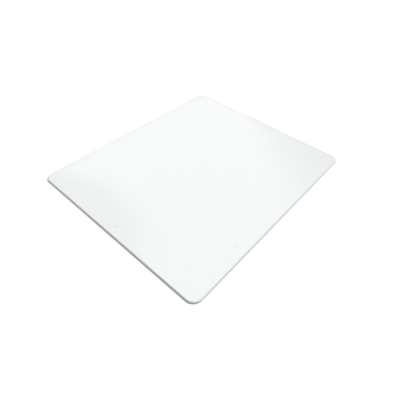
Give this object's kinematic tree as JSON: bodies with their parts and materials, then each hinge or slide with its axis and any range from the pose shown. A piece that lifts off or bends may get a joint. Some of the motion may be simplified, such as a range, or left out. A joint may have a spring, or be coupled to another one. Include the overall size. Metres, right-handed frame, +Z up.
{
  "type": "chair mat",
  "caption": "Flat rectangular tempered-glass chair mat with round corners and a bevelled edge, standing on clear stick-on bumper pads.",
  "frame": {"origin": "on the floor, under the middle of the mat", "axes": "+X along the long side, +Y along the short side, +Z up"},
  "size_m": [1.346, 1.143, 0.009],
  "materials": {
    "glass": "polished faces, very faint green, with the bevel ground to a satin and a darker seamed nose",
    "bumper": "clear soft elastomer, satin",
    "adhesive": "clear pressure-sensitive adhesive"
  },
  "bodies": {
    "root": {"glass_pane": "glass", "bumper_pad_01": "bumper", "bumper_pad_02": "bumper", "bumper_pad_03": "bumper", "bumper_pad_04": "bumper", "bumper_pad_05": "bumper", "bumper_pad_06": "bumper", "bumper_pad_07": "bumper", "bumper_pad_08": "bumper", "bumper_pad_09": "bumper", "bumper_pad_10": "bumper", "bumper_pad_11": "bumper", "bumper_pad_12": "bumper", "bumper_pad_13": "bumper", "bumper_pad_14": "bumper", "bumper_pad_15": "bumper", "adhesive_disc_01": "adhesive", "adhesive_disc_02": "adhesive", "adhesive_disc_03": "adhesive", "adhesive_disc_04": "adhesive", "adhesive_disc_05": "adhesive", "adhesive_disc_06": "adhesive", "adhesive_disc_07": "adhesive", "adhesive_disc_08": "adhesive", "adhesive_disc_09": "adhesive", "adhesive_disc_10": "adhesive", "adhesive_disc_11": "adhesive", "adhesive_disc_12": "adhesive", "adhesive_disc_13": "adhesive", "adhesive_disc_14": "adhesive", "adhesive_disc_15": "adhesive"}
  },
  "joints": []
}
